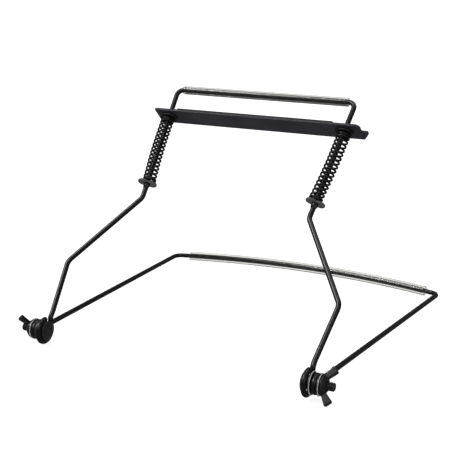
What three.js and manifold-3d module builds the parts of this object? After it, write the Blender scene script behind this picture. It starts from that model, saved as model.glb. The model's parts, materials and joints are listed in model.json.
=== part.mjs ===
// A neck-worn instrument holder: a bent-wire yoke, a bent-wire upper frame on two
// wing-nut joints, and a clamp bar that two springs push along the frame.
// Millimetres. X runs across the holder, Y from the joints back to the neck, Z is up.
import * as THREE from 'three';
import { mergeVertices } from 'three/addons/utils/BufferGeometryUtils.js';
import Module from 'manifold-3d';

const wasm = await Module();
wasm.setup();

// Wire and running gaps
const rodDiameter = 3.1;
const seatGap = 0.3;             // between pieces that rest on each other
const cutOverrun = 2;            // how far a cutting tool passes a face

// Joints
const yokeEyePlane = 88.5;       // from the middle plane to the yoke's eye
const frameEyeRadius = 6.6;      // centre line of the wire round the bolt
const yokeEyeRadius = 4.4;
const eyeNeckRadius = 5;         // the back bend that centres an eye on its wire
const eyeNeckStraight = 1.5;     // wire square to the bolt before it slants away
const tailGap = 0.5;             // from an eye's cut end to its own neck
const outerWasherDiameter = 12.2;
const middleWasherDiameter = 11.4;
const washerThickness = 1.1;
const boltDiameter = 5;
const boltPastNut = 4.05;
const boltChamfer = 0.6;
const boltHeadDiameter = 11.6;
const boltHeadHeight = 1.9;
const boltHeadRim = 0.8;         // straight part of the head's side

// Wing nut
const nutBaseDiameter = 10.6;
const nutBaseHeight = 0.8;
const nutTopDiameter = 7.2;
const nutHeight = 2.8;
const wingTipReach = 9.8;        // middle of a wing's end, from the bolt's axis
const wingTipRise = 5.6;         // and from the nut's base
const wingWidth = 4.4;
const wingThickness = 2.2;
const wingFlare = THREE.MathUtils.degToRad(43.5);
const wingRootReach = 5.2;
const wingRootRise = 0.4;
const wingShoulderRise = 2.4;
const wingCoreReach = 3.2;       // where a wing starts, inside the nut's body
const wingCornerRadius = 1.1;
const wingBevel = 0.35;
const nutAngle = THREE.MathUtils.degToRad(56);   // wings' slope from the level, both nuts

// Upper frame, flat in its own plane: width from the middle, length from the joint
const frameLean = THREE.MathUtils.degToRad(46.2);
const kneeFlare = 4.1;           // how far the knee stands outside the eye
const kneeLength = 46;
const waistHalfWidth = 55.1;
const waistLength = 95.6;
const topHalfWidth = 60.6;
const topLength = 177;
const kneeRadius = 7;
const waistRadius = 6;
const topRadius = 4.2;
const crossSleeveWall = 0.45;
const sleeveEndInset = 0.4;      // from a sleeve's end to the start of the bend

// Neck yoke, flat in its own plane
const armFlare = 10.7;           // how far the neck corner stands outside the eye
const neckDepth = 202;           // middle of the bowed neck wire, from the joints
const neckBow = 16.3;            // and how far it bows out past the corners
const neckCornerRadius = 6;
const neckSleeveWall = 1.15;
const neckSleeveInset = 9.9;     // from the corner to the sleeve's end

// Spring seats
const seatAboveWaist = 10.7;     // middle of the plate, along the frame
const seatThickness = 1;
const seatLobeRadius = 3.5;
const seatLobeSpacing = 5;       // between the two lobes' centres
const seatWaistWidth = 5.6;
const seatTwist = THREE.MathUtils.degToRad(30);
const crimpWidth = 5.4;
const crimpThickness = 1.9;
const crimpLength = 3;

// Clamp bar, square to the frame's length
const barDrop = 20.8;            // from the cross wire down to the bar's underside
const barThickness = 1.5;
const barWidth = 14;
const barShift = -0.4;           // the bar's middle, off the wires' plane
const barLeftOverhang = 8.5;     // past the middle of the left wire's slot
const barRightOverhang = 10.5;
const barCornerRadius = 3.4;
const tabReach = 4;              // finger tab, past the bar's right end
const tabWidth = 8;
const tabChamferLength = 3.4;
const tabChamferDepth = 5.6;
const padThickness = 1;
const padEndGap = 1.9;           // from the pad's end to the bush's collar
const padEdgeInset = 0.8;        // from the bar's long edges to the pad's
const slideDown = 14;            // the bar pulled against its springs
const slideUp = 14;              // the bar let up to the cross wire

// Glide bushes in the bar
const bushPlay = 0.3;
const bushWall = 0.9;
const bushLip = 1.6;
const bushFlangeThickness = 1.2;
const bushCollarLip = 0.8;
const bushCollarThickness = 0.7;

// Springs
const wireDiameter = 1;
const springDiameter = 8.6;
const springTurns = 17;
const tailBendRadius = 0.8;

// Facets
const rodSides = 8;
const sleeveSides = 12;
const discSides = 20;
const stepsPerTurn = 8;
const wireSides = 5;
const eyeSteps = 16;
const bendSteps = 4;
const neckSteps = 20;
const arcSteps = 4;

// Values worked out from the sizes above
const rodRadius = rodDiameter / 2;
const sleeveBore = rodRadius + seatGap;
const neckSleeveRadius = sleeveBore + neckSleeveWall;
const frameEyePlane = yokeEyePlane - rodDiameter - washerThickness - 2 * seatGap;
const kneeHalfWidth = frameEyePlane + kneeFlare;
const neckHalfWidth = yokeEyePlane + armFlare;
const crossHalfWidth = topHalfWidth - topRadius;
const uprightLean = Math.atan2(topHalfWidth - waistHalfWidth, topLength - waistLength);
const seatLength = waistLength + seatAboveWaist;
const barUnderside = topLength - barDrop;
const barTop = barUnderside + barThickness;
const flangeBottom = barUnderside - seatGap - bushFlangeThickness;
const bushHeight = barTop + seatGap + bushCollarThickness - flangeBottom;
const bushSlip = Math.abs(Math.tan(uprightLean)) * (Math.max(slideDown, slideUp) + bushHeight);
const bushBoreWidth = rodRadius + bushPlay;
const bushBoreLength = bushBoreWidth + bushSlip;
const bushPlace = waistHalfWidth + Math.tan(uprightLean) * (barUnderside - waistLength);
const padHalfLength = bushPlace - bushBoreLength - bushWall - bushCollarLip - padEndGap;
const padWidth = barWidth - 2 * padEdgeInset;
const xAxis = new THREE.Vector3(1, 0, 0);
const yAxis = new THREE.Vector3(0, 1, 0);
const quarterTurn = Math.PI / 2;

// Finishes
function finish(colour, roughness, metalness) {
  return new THREE.MeshStandardMaterial({ color: colour, roughness, metalness });
}

const blackWire = () => finish(0x17161a, 0.38, 0.55);
const blackPlate = () => finish(0x2e2d33, 0.5, 0.45);
const blackFastener = () => finish(0x1b1b1e, 0.35, 0.65);
const darkSpring = () => finish(0x1d1c20, 0.35, 0.6);
const darkNylon = () => finish(0x101012, 0.55, 0);
const blackRubber = () => finish(0x0e0e10, 0.85, 0);

function clearTube() {
  const material = finish(0xdfe3e6, 0.12, 0);
  material.transparent = true;
  material.opacity = 0.4;
  return material;
}

// A curve that is straight between stations placed where the bends need them
class StationCurve extends THREE.Curve {
  constructor(stations) {
    super();
    this.stations = stations;
  }

  getPoint(t, target = new THREE.Vector3()) {
    const last = this.stations.length - 1;
    const index = Math.min(Math.floor(t * last), last - 1);
    return target.lerpVectors(this.stations[index], this.stations[index + 1], t * last - index);
  }

  getUtoTmapping(u) {
    return u;
  }
}

function roundSection(radius, sides) {
  const corners = Array.from({ length: sides }, (_, i) => {
    const angle = (2 * Math.PI * i) / sides;
    return new THREE.Vector2(radius * Math.cos(angle), radius * Math.sin(angle));
  });
  return new THREE.Shape(corners);
}

function sweep(section, stations) {
  const path = new StationCurve(stations);
  return new THREE.ExtrudeGeometry(section, { steps: stations.length - 1, extrudePath: path });
}

// A pipe along stations: a round section with a round bore
function sweepPipe(outerRadius, innerRadius, stations) {
  const section = roundSection(outerRadius, sleeveSides);
  section.holes.push(new THREE.Path(roundSection(innerRadius, sleeveSides).getPoints()));
  return sweep(section, stations);
}

// Corner points to stations: a corner with a radius becomes an arc
function bendWire(corners) {
  const stations = [];
  corners.forEach(({ point, radius }, i) => {
    if (!radius) {
      stations.push(point.clone());
      return;
    }
    const into = point.clone().sub(corners[i - 1].point).normalize();
    const away = corners[i + 1].point.clone().sub(point).normalize();
    const turn = into.angleTo(away);
    const start = point.clone().addScaledVector(into, -radius * Math.tan(turn / 2));
    const inward = away.clone().addScaledVector(into, -Math.cos(turn)).normalize();
    for (let step = 0; step <= bendSteps; step += 1) {
      const angle = (turn * step) / bendSteps;
      stations.push(start.clone()
        .addScaledVector(into, radius * Math.sin(angle))
        .addScaledVector(inward, radius * (1 - Math.cos(angle))));
    }
  });
  return stations;
}

// Where an eye's ring gives way to the back bend, and where that bend meets the straight wire
function eyeNeck(radius) {
  const angle = Math.asin(eyeNeckRadius / (radius + eyeNeckRadius));
  return { angle, start: (radius + eyeNeckRadius) * Math.cos(angle) };
}

// An eye in the plane x = plane, from its cut end round to the straight wire along +Y
function eyeStations(plane, radius) {
  const neck = eyeNeck(radius);
  const tailAngle = Math.asin((rodDiameter + tailGap) / radius);
  const stations = [];
  for (let step = 0; step <= eyeSteps; step += 1) {
    const angle = tailAngle + ((2 * Math.PI - neck.angle - tailAngle) * step) / eyeSteps;
    stations.push(new THREE.Vector3(plane, radius * Math.cos(angle), radius * Math.sin(angle)));
  }
  for (let step = 1; step <= bendSteps; step += 1) {
    const angle = Math.PI - neck.angle + ((neck.angle - quarterTurn) * step) / bendSteps;
    stations.push(new THREE.Vector3(plane,
      neck.start + eyeNeckRadius * Math.cos(angle),
      eyeNeckRadius * Math.sin(angle) - eyeNeckRadius));
  }
  return stations;
}

// A wire that starts in an eye on the right, follows the corners of its right half
// and comes back mirrored to an eye on the left
function pairedWire(eyePlane, eyeRadius, rightCorners) {
  const mirror = (point) => point.clone().multiply(new THREE.Vector3(-1, 1, 1));
  const neckEnd = { point: new THREE.Vector3(eyePlane, eyeNeck(eyeRadius).start + eyeNeckStraight, 0) };
  const rightHalf = [neckEnd, ...rightCorners];
  const onMiddle = rightCorners.at(-1).point.x === 0;
  const backHalf = rightHalf.slice(0, onMiddle ? -1 : undefined).reverse()
    .map(({ point, radius }) => ({ point: mirror(point), radius }));
  const eye = eyeStations(eyePlane, eyeRadius);
  return [...eye, ...bendWire([...rightHalf, ...backHalf]), ...eye.map(mirror).reverse()];
}

// Closed geometry to a solid for cutting and joining, and back
function toSolid(geometry) {
  const bare = geometry.clone();
  bare.deleteAttribute('normal');
  bare.deleteAttribute('uv');
  const merged = mergeVertices(bare);
  return new wasm.Manifold(new wasm.Mesh({
    numProp: 3,
    vertProperties: new Float32Array(merged.attributes.position.array),
    triVerts: new Uint32Array(merged.index.array),
  }));
}

function toGeometry(solid) {
  const mesh = solid.getMesh();
  const geometry = new THREE.BufferGeometry();
  geometry.setAttribute('position', new THREE.BufferAttribute(mesh.vertProperties, mesh.numProp));
  geometry.setIndex(new THREE.BufferAttribute(mesh.triVerts, 1));
  const flat = geometry.toNonIndexed();
  flat.computeVertexNormals();
  return flat;
}

function named(name, geometry, material) {
  const mesh = new THREE.Mesh(geometry, material);
  mesh.name = name;
  return mesh;
}

// A turned body about +X from half-outline points of (radius, place along the axis)
function turned(outline) {
  const points = outline.map(([radius, along]) => new THREE.Vector2(radius, along));
  return new THREE.LatheGeometry(points, discSides).rotateZ(-quarterTurn);
}

function roundBar(radius, from, to) {
  return turned([[0, from], [radius, from], [radius, to], [0, to]]);
}

// A plate outlined in X and Z, standing from one height along Y to another
function plate(shape, from, to) {
  return new THREE.ExtrudeGeometry(shape, { depth: to - from, bevelEnabled: false, curveSegments: arcSteps })
    .rotateX(quarterTurn)
    .translate(0, to, 0);
}

// A straight-sided slot with round ends, centred, long along X
function slotShape(halfLength, halfWidth) {
  const straight = halfLength - halfWidth;
  const shape = new THREE.Shape();
  shape.absarc(straight, 0, halfWidth, -quarterTurn, quarterTurn);
  shape.absarc(-straight, 0, halfWidth, quarterTurn, 3 * quarterTurn);
  shape.closePath();
  return shape;
}

// Fasteners of a joint, each about the +X axis
function boltGeometry() {
  const headRadius = boltHeadDiameter / 2;
  const shankRadius = boltDiameter / 2;
  const length = nutPlane() + nutHeight + boltPastNut - boltSeat();
  const outline = [[0, -boltHeadHeight]];
  for (let step = 1; step <= arcSteps; step += 1) {
    const angle = (quarterTurn * step) / arcSteps;
    const dome = boltHeadHeight - boltHeadRim;
    outline.push([headRadius * Math.sin(angle), -boltHeadRim - dome * Math.cos(angle)]);
  }
  outline.push([headRadius, 0], [shankRadius, 0], [shankRadius, length - boltChamfer]);
  outline.push([shankRadius - boltChamfer, length], [0, length]);
  return turned(outline);
}

function washerGeometry(diameter) {
  const outer = diameter / 2;
  const inner = boltDiameter / 2 + seatGap;
  return turned([[inner, 0], [outer, 0], [outer, washerThickness], [inner, washerThickness], [inner, 0]]);
}

function wingShape() {
  const half = wingWidth / 2;
  const across = new THREE.Vector2(Math.sin(wingFlare), -Math.cos(wingFlare));
  const along = new THREE.Vector2(Math.cos(wingFlare), Math.sin(wingFlare));
  const tip = new THREE.Vector2(wingTipReach, wingTipRise);
  const outerCorner = tip.clone().addScaledVector(across, half);
  const innerCorner = tip.clone().addScaledVector(across, -half);
  const beforeOuter = outerCorner.clone().addScaledVector(along, -wingCornerRadius);
  const afterOuter = outerCorner.clone().addScaledVector(across, -wingCornerRadius);
  const beforeInner = innerCorner.clone().addScaledVector(across, wingCornerRadius);
  const afterInner = innerCorner.clone().addScaledVector(along, -wingCornerRadius);
  const shape = new THREE.Shape();
  shape.moveTo(wingCoreReach, wingRootRise);
  shape.lineTo(wingRootReach, wingRootRise);
  shape.lineTo(beforeOuter.x, beforeOuter.y);
  shape.quadraticCurveTo(outerCorner.x, outerCorner.y, afterOuter.x, afterOuter.y);
  shape.lineTo(beforeInner.x, beforeInner.y);
  shape.quadraticCurveTo(innerCorner.x, innerCorner.y, afterInner.x, afterInner.y);
  shape.lineTo(wingCoreReach, wingShoulderRise);
  shape.closePath();
  return shape;
}

// The nut stands on x = 0 with its wings in the plane z = 0
function wingNutGeometry() {
  const body = toSolid(turned([
    [0, 0],
    [nutBaseDiameter / 2, 0],
    [nutBaseDiameter / 2, nutBaseHeight],
    [nutTopDiameter / 2, nutHeight],
    [0, nutHeight],
  ]));
  const wing = new THREE.ExtrudeGeometry(wingShape(), {
    depth: wingThickness - 2 * wingBevel,
    bevelEnabled: true,
    bevelThickness: wingBevel,
    bevelSize: wingBevel,
    bevelOffset: -wingBevel,
    bevelSegments: 1,
    curveSegments: 2,
  });
  wing.translate(0, 0, wingBevel - wingThickness / 2);
  // the outline's reach lies along Y and its rise along X
  wing.rotateX(Math.PI).rotateZ(quarterTurn);
  const otherWing = wing.clone().rotateX(Math.PI);
  const bore = toSolid(roundBar(boltDiameter / 2 + seatGap, -cutOverrun, nutHeight + cutOverrun));
  return toGeometry(body.add(toSolid(wing)).add(toSolid(otherWing)).subtract(bore));
}

// Places along the bolt, on the right-hand side
function boltSeat() {
  return frameEyePlane - rodRadius - seatGap;
}

function outerWasherPlane() {
  return yokeEyePlane + rodRadius + seatGap;
}

function nutPlane() {
  return outerWasherPlane() + washerThickness + seatGap;
}

// The joint's axis stands as high as the wings' lower ends reach below it
const nutStanding = wingNutGeometry().rotateX(nutAngle);
nutStanding.computeBoundingBox();
const axisHeight = -nutStanding.boundingBox.min.z;
const yokeDip = Math.asin((axisHeight - neckSleeveRadius) / neckDepth);

// Neck yoke in its own plane
const neckArcRadius = (neckHalfWidth ** 2 + neckBow ** 2) / (2 * neckBow);

function neckPoint(halfWidth) {
  const rise = Math.sqrt(neckArcRadius ** 2 - halfWidth ** 2);
  return new THREE.Vector3(halfWidth, neckDepth - neckArcRadius + rise, 0);
}

function neckYoke() {
  const corners = [{ point: neckPoint(neckHalfWidth), radius: neckCornerRadius }];
  for (let step = neckSteps / 2 - 1; step >= 0; step -= 1) {
    corners.push({ point: neckPoint((neckHalfWidth * step) / (neckSteps / 2)) });
  }
  return named('neck_yoke',
    sweep(roundSection(rodRadius, rodSides), pairedWire(yokeEyePlane, yokeEyeRadius, corners)),
    blackWire());
}

function neckSleeve() {
  const end = neckHalfWidth - neckSleeveInset;
  const stations = Array.from({ length: neckSteps + 1 }, (_, i) => (
    neckPoint(end * (1 - (2 * i) / neckSteps))));
  return named('neck_sleeve', sweepPipe(neckSleeveRadius, sleeveBore, stations), clearTube());
}

// Upper frame in its own plane
function uprightPoint(length) {
  const share = (length - waistLength) / (topLength - waistLength);
  return new THREE.Vector3(THREE.MathUtils.lerp(waistHalfWidth, topHalfWidth, share), length, 0);
}

// Pinched ears that stop the spring seat from sliding down its wire
function crimpGeometry(side) {
  const top = seatLength - seatThickness / 2 - seatGap;
  const middle = uprightPoint(top - crimpLength / 2);
  return new THREE.BoxGeometry(crimpWidth, crimpLength, crimpThickness)
    .rotateZ(-uprightLean)
    .translate(middle.x, middle.y, 0)
    .applyMatrix4(new THREE.Matrix4().makeRotationY(side < 0 ? Math.PI : 0));
}

function upperFrame() {
  const corners = [
    { point: new THREE.Vector3(kneeHalfWidth, kneeLength, 0), radius: kneeRadius },
    { point: new THREE.Vector3(waistHalfWidth, waistLength, 0), radius: waistRadius },
    { point: new THREE.Vector3(topHalfWidth, topLength, 0), radius: topRadius },
  ];
  const line = pairedWire(frameEyePlane, frameEyeRadius, corners);
  const wire = toSolid(sweep(roundSection(rodRadius, rodSides), line));
  const solid = wire.add(toSolid(crimpGeometry(1))).add(toSolid(crimpGeometry(-1)));
  return named('upper_frame', toGeometry(solid), blackWire());
}

function crossRodSleeve() {
  const end = crossHalfWidth - sleeveEndInset;
  const stations = [new THREE.Vector3(end, topLength, 0), new THREE.Vector3(-end, topLength, 0)];
  return named('cross_rod_sleeve',
    sweepPipe(sleeveBore + crossSleeveWall, sleeveBore, stations), clearTube());
}

// Spring seat: two round lobes joined by a waist, with a hole for the wire
function springSeatGeometry() {
  const bottom = -seatThickness / 2;
  const top = seatThickness / 2;
  const lobe = (along) => toSolid(roundBar(seatLobeRadius, bottom, top)
    .rotateZ(quarterTurn)
    .translate(along, 0, 0));
  const waist = toSolid(new THREE.BoxGeometry(seatLobeSpacing, seatThickness, seatWaistWidth));
  const hole = toSolid(roundBar(rodRadius + seatGap, bottom - cutOverrun, top + cutOverrun)
    .rotateZ(quarterTurn));
  const solid = lobe(seatLobeSpacing / 2).add(lobe(-seatLobeSpacing / 2)).add(waist).subtract(hole);
  return toGeometry(solid).rotateY(seatTwist);
}

// Coil spring about +Y from y = 0, its ends bent square to what they press on
function springStations(length) {
  const radius = (springDiameter - wireDiameter) / 2;
  const endRise = tailBendRadius + wireDiameter;
  const climb = length - 2 * endRise;
  const turnAngle = 2 * Math.PI * springTurns;
  const coil = [];
  for (let step = 0; step <= springTurns * stepsPerTurn; step += 1) {
    const share = step / (springTurns * stepsPerTurn);
    const angle = turnAngle * share;
    coil.push(new THREE.Vector3(radius * Math.sin(angle), endRise + climb * share, radius * Math.cos(angle)));
  }
  const tail = (from, tangent, way) => {
    const points = [];
    for (let step = 1; step <= bendSteps; step += 1) {
      const angle = (quarterTurn * step) / bendSteps;
      points.push(from.clone()
        .addScaledVector(tangent, tailBendRadius * Math.sin(angle))
        .addScaledVector(yAxis, way * tailBendRadius * (1 - Math.cos(angle))));
    }
    points.push(points.at(-1).clone().addScaledVector(yAxis, way * wireDiameter));
    return points;
  };
  const startTail = tail(coil[0], xAxis.clone().negate(), -1).reverse();
  return [...startTail, ...coil, ...tail(coil.at(-1), xAxis, 1)];
}

// Least gap between the wire's turns, measured on the centre line's points.
// Points less than half a turn apart along the wire are the same stretch of it.
function leastCoilGap(stations) {
  const halfTurn = (Math.PI * (springDiameter - wireDiameter)) / 2;
  let least = Infinity;
  stations.forEach((point, i) => {
    let along = 0;
    for (let j = i + 1; j < stations.length; j += 1) {
      along += stations[j].distanceTo(stations[j - 1]);
      if (along > halfTurn) least = Math.min(least, point.distanceTo(stations[j]));
    }
  });
  return least - wireDiameter;
}

function springLength() {
  const along = (flangeBottom - seatGap - waistLength) / Math.cos(uprightLean);
  const start = (seatLength - waistLength) / Math.cos(uprightLean) + seatThickness / 2 + seatGap;
  return along - start;
}

// Clamp bar seen along the frame: X to the right, Z towards the front
function barShape() {
  const front = barShift + barWidth / 2;
  const back = barShift - barWidth / 2;
  const leftEnd = -bushPlace - barLeftOverhang;
  const rightEnd = bushPlace + barRightOverhang;
  const tabEnd = rightEnd + tabReach;
  const tabFront = back + tabWidth;
  const shape = new THREE.Shape();
  shape.moveTo(leftEnd, back);
  shape.lineTo(tabEnd - tabChamferLength, back);
  shape.lineTo(tabEnd, back + tabChamferDepth);
  shape.lineTo(tabEnd, tabFront);
  shape.lineTo(rightEnd, tabFront);
  shape.lineTo(rightEnd, front - barCornerRadius);
  shape.absarc(rightEnd - barCornerRadius, front - barCornerRadius, barCornerRadius, 0, quarterTurn);
  shape.lineTo(leftEnd, front);
  shape.closePath();
  return shape;
}

function clampBar() {
  const extra = bushWall + seatGap;
  const hole = slotShape(bushBoreLength + extra, bushBoreWidth + extra);
  let solid = toSolid(plate(barShape(), barUnderside, barTop));
  [-1, 1].forEach((side) => {
    const cutter = plate(hole, barUnderside - cutOverrun, barTop + cutOverrun);
    solid = solid.subtract(toSolid(cutter.translate(side * bushPlace, 0, 0)));
  });
  return named('clamp_bar', toGeometry(solid), blackPlate());
}

function barPad() {
  const pad = new THREE.BoxGeometry(2 * padHalfLength, padThickness, padWidth);
  pad.translate(0, barTop + seatGap + padThickness / 2, barShift);
  return named('bar_pad', pad, blackRubber());
}

// Flange under the bar, barrel through it and a lip above it, round one wire
function barBush(name, side) {
  const ring = (extra, from, to) => toSolid(
    plate(slotShape(bushBoreLength + extra, bushBoreWidth + extra), from, to));
  const top = barTop + seatGap + bushCollarThickness;
  const solid = ring(bushWall + bushLip, flangeBottom, flangeBottom + bushFlangeThickness)
    .add(ring(bushWall, flangeBottom, top))
    .add(ring(bushWall + bushCollarLip, top - bushCollarThickness, top))
    .subtract(ring(0, flangeBottom - cutOverrun, top + cutOverrun));
  const mesh = named(name, toGeometry(solid), darkNylon());
  mesh.position.x = side * bushPlace;
  return mesh;
}

// A group whose Y axis runs up the right or left upright's wire
function uprightGroup(side, length) {
  const group = new THREE.Group();
  group.position.copy(uprightPoint(length).multiply(new THREE.Vector3(side, 1, 1)));
  group.rotation.z = -side * uprightLean;
  return group;
}

const holder = new THREE.Group();
const joints = new THREE.Group();
joints.position.z = axisHeight;
holder.add(joints);

const yoke = new THREE.Group();
yoke.rotation.x = -yokeDip;
yoke.add(neckYoke(), neckSleeve());

const frame = new THREE.Group();
frame.rotation.x = frameLean;
frame.add(upperFrame(), crossRodSleeve(), clampBar(), barPad());
joints.add(yoke, frame);

const spring = springStations(springLength());
console.log(`least gap between spring turns: ${leastCoilGap(spring).toFixed(2)} mm`);

[['left', -1], ['right', 1]].forEach(([sideName, side]) => {
  const seatGroup = uprightGroup(side, seatLength);
  const springMesh = named(`${sideName}_spring`,
    sweep(roundSection(wireDiameter / 2, wireSides), spring), darkSpring());
  springMesh.position.y = seatThickness / 2 + seatGap;
  seatGroup.add(named(`${sideName}_spring_seat`, springSeatGeometry(), blackPlate()), springMesh);
  frame.add(seatGroup, barBush(`${sideName}_bar_bush`, side));

  // the left joint is the right one turned half a turn about the vertical
  const stack = new THREE.Group();
  stack.rotation.z = side > 0 ? 0 : Math.PI;
  const place = (name, geometry, along) => {
    const mesh = named(`${sideName}_${name}`, geometry, blackFastener());
    mesh.position.x = along;
    stack.add(mesh);
    return mesh;
  };
  place('pivot_bolt', boltGeometry(), boltSeat());
  place('middle_washer', washerGeometry(middleWasherDiameter), frameEyePlane + rodRadius + seatGap);
  place('outer_washer', washerGeometry(outerWasherDiameter), outerWasherPlane());
  place('wing_nut', wingNutGeometry(), nutPlane()).rotation.x = nutAngle;
  joints.add(stack);
});

// The origin is the middle of the footprint, on the surface the holder stands on
holder.updateMatrixWorld(true);
const extent = new THREE.Box3().setFromObject(holder, true);
holder.position.set(0, -(extent.min.y + extent.max.y) / 2, -extent.min.z);

export default holder;
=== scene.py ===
import json
import bmesh
import bpy
import numpy as np
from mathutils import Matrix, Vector
from mathutils.geometry import tessellate_polygon


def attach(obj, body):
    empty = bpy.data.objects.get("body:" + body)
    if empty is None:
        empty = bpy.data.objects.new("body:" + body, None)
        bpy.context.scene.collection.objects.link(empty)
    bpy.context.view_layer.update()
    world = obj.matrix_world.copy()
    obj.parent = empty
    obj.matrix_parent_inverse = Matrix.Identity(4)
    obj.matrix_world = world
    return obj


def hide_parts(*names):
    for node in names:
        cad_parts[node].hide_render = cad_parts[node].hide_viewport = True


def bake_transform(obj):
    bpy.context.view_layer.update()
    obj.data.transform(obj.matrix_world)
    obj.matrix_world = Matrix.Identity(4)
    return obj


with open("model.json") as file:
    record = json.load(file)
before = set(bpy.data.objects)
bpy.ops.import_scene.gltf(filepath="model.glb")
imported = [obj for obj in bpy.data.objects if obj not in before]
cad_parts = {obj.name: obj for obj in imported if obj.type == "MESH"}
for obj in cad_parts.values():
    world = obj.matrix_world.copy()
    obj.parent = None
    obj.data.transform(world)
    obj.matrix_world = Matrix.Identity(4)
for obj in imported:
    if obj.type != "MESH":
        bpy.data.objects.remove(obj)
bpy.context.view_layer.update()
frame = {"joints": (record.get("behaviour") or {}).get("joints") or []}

# Shapes are worked out in millimetres on the axes of the piece that they belong to.
# Placing one turns it to metres at its place in the holder.
mm = 0.001
tau = 2 * np.pi
quarter = np.pi / 2

joints = {joint["name"]: joint for joint in frame["joints"]}
pivot = np.array(joints["frame_tilt"]["pos_m"], float)
frameUp = np.array(joints["bar_slide"]["axis"], float)
acrossHolder = np.array([1.0, 0.0, 0.0])
sides = (("left", -1), ("right", 1))


# A place is an origin in metres and three unit axes as rows: across the holder, the given
# length direction, and their cross product.
def placeAlong(lengthAxis):
    lengthAxis = np.asarray(lengthAxis, float) / np.linalg.norm(lengthAxis)
    return pivot, np.array([acrossHolder, lengthAxis, np.cross(acrossHolder, lengthAxis)])


# A shell is points, faces and a texture place for each face corner. Each point becomes the
# place's origin plus its coordinates times the place's axes.
def placed(shell, place):
    points, faces, uvs = shell
    origin, axes = place
    return origin + mm * (points @ axes), faces, uvs


framePlace = placeAlong(frameUp)


# Grid of points to a shell of quads. Columns close on themselves and rows may, and a middle
# point closes an open end with a fan. u is the share of the way round, v the length in metres.
def gridShell(rows, wrapRows=False, poles=False):
    count, around = rows.shape[:2]
    rowStarts = np.arange(count if wrapRows else count - 1)
    r, c = (part.ravel() for part in np.meshgrid(rowStarts, np.arange(around), indexing="ij"))
    cornerRows = np.stack([r, r, r + 1, r + 1], 1)
    cornerColumns = np.stack([c, c + 1, c + 1, c], 1)
    quads = (cornerRows % count) * around + cornerColumns % around
    steps = np.linalg.norm(np.roll(rows, -1, 0) - rows, axis=2).mean(1)
    along = mm * np.concatenate([[0.0], np.cumsum(steps)])
    points, faces = [rows.reshape(-1, 3)], quads.tolist()
    uvs = [np.stack([cornerColumns / around, along[cornerRows]], 2).reshape(-1, 2)]
    if poles:
        ring = np.arange(around)
        following = (ring + 1) % around
        for end, row in enumerate((0, count - 1)):
            points.append(rows[row].mean(0)[None])
            here, there = ring + row * around, following + row * around
            pair = (there, here) if end == 0 else (here, there)
            faces += np.stack([*pair, np.full(around, count * around + end)], 1).tolist()
            fan = np.stack([ring, ring + 1, ring + 0.5], 1) / around
            uvs.append(np.stack([fan, np.full_like(fan, along[row])], 2).reshape(-1, 2))
    return np.concatenate(points), faces, np.concatenate(uvs)


# Corners with radii to a line whose corners are arcs, each from where a circle of that
# radius touches the side before it to where it touches the side after it.
def filleted(corners, radii, closed=False, steps=8):
    corners = np.asarray(corners, float)
    line = []
    for i, corner in enumerate(corners):
        if not radii[i] or (not closed and i in (0, len(corners) - 1)):
            line.append(corner[None])
            continue
        into = corner - corners[i - 1]
        away = corners[(i + 1) % len(corners)] - corner
        into, away = into / np.linalg.norm(into), away / np.linalg.norm(away)
        turn = np.arccos(np.clip(into @ away, -1, 1))
        inward = away - into * np.cos(turn)
        inward = inward / np.linalg.norm(inward)
        angle = np.linspace(0, turn, max(3, int(steps * turn / quarter) + 2))[:, None]
        start = corner - into * radii[i] * np.tan(turn / 2)
        line.append(start + radii[i] * (into * np.sin(angle) + inward * (1 - np.cos(angle))))
    return np.concatenate(line)


# Points added on the straight stretches, no further apart than the step
def resampled(line, step, closed=False, shortest=1e-6):
    if closed:
        line = np.concatenate([line, line[:1]])
    gaps = np.linalg.norm(np.diff(line, axis=0), axis=1)
    kept = gaps > shortest
    starts, ends, gaps = line[:-1][kept], line[1:][kept], gaps[kept]
    counts = np.maximum(1, np.ceil(gaps / step).astype(int))
    parts = [a + (b - a) * (np.arange(n) / n)[:, None] for a, b, n in zip(starts, ends, counts)]
    return np.concatenate(parts if closed else [*parts, line[-1:]])


# Any direction that no wire runs along
circleGuide = np.array([0.62, 0.54, 0.57])


# Circles square to a line, one at each of its points. Each starts from a guide direction,
# less the guide's share along the line.
def circlesAlong(line, around, guide=circleGuide):
    direction = np.gradient(line, axis=0)
    direction = direction / np.linalg.norm(direction, axis=1)[:, None]
    first = guide - (direction * guide).sum(1)[:, None] * direction
    first = first / np.linalg.norm(first, axis=1)[:, None]
    second = np.cross(direction, first)
    angle = np.linspace(0, tau, around, endpoint=False)[None, :, None]
    return direction, np.cos(angle) * first[:, None] + np.sin(angle) * second[:, None]


# Round rod along a line: at each station a circle of the rod's radius, and at both ends rows
# whose radius falls over a quarter circle of the easing to the flat cut.
def rodShell(line, radius, around=28, easing=0.3, easeRows=5, flatShare=0.8, shaped=None):
    direction, circle = circlesAlong(line, around)
    offsets = radius * circle
    if shaped is not None:
        offsets = shaped(line, offsets)
    turn = np.linspace(quarter, 0, easeRows)[:, None, None]
    inset, fall = easing * (1 - np.sin(turn)), easing * (1 - np.cos(turn))
    flat = flatShare * (radius - easing)
    start = line[0] + direction[0] * inset + circle[0] * (radius - fall)
    end = (line[-1] - direction[-1] * inset + circle[-1] * (radius - fall))[::-1]
    rows = [(line[0] + circle[0] * flat)[None], start, line[1:-1, None] + offsets[1:-1], end,
            (line[-1] + circle[-1] * flat)[None]]
    return gridShell(np.concatenate(rows), poles=True)


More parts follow.
